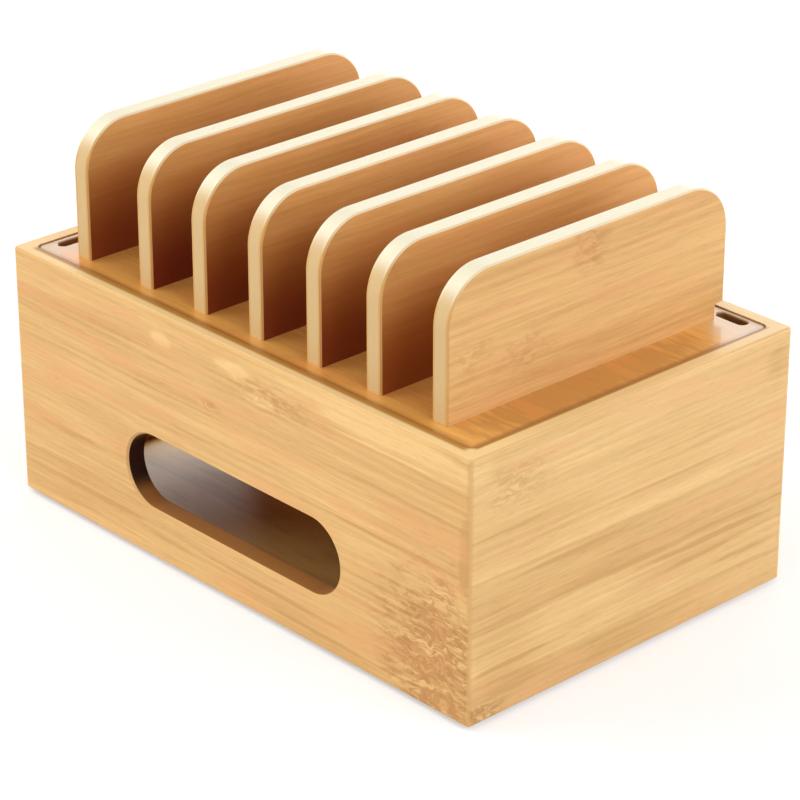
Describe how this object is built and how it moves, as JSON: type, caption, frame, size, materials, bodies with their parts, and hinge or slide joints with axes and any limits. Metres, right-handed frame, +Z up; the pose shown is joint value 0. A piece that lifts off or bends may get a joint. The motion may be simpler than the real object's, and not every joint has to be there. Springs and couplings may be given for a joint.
{
  "type": "charging station organizer",
  "caption": "Bamboo box for a charger with a long round-ended opening in front and a lift-out lid that carries a row of upright dividers for phones and tablets.",
  "frame": {"origin": "on the surface it stands on, under the middle of the box", "axes": "+X along the box towards its plain end, +Y towards the back, away from the long front opening, +Z up"},
  "size_m": [0.25, 0.16, 0.1565],
  "materials": {
    "bamboo_wall": "satin lacquer",
    "bamboo_panel": "satin lacquer",
    "bamboo_lid": "gloss lacquer",
    "bamboo_divider": "satin lacquer",
    "pad": "matte"
  },
  "bodies": {
    "box": {"front_wall": "bamboo_wall", "back_wall": "bamboo_wall", "left_end_wall": "bamboo_wall", "right_end_wall": "bamboo_wall", "bottom_panel": "bamboo_panel", "foot_front_left": "pad", "foot_front_right": "pad", "foot_back_left": "pad", "foot_back_right": "pad"},
    "lid": {"lid_panel": "bamboo_lid", "divider_1": "bamboo_divider", "divider_2": "bamboo_divider", "divider_3": "bamboo_divider", "divider_4": "bamboo_divider", "divider_5": "bamboo_divider", "divider_6": "bamboo_divider", "divider_7": "bamboo_divider"}
  },
  "joints": [
    {"name": "lid_lift", "type": "slide", "parent": "box", "child": "lid", "axis": [0, 0, 1], "range_m": [0, 0.08]}
  ]
}
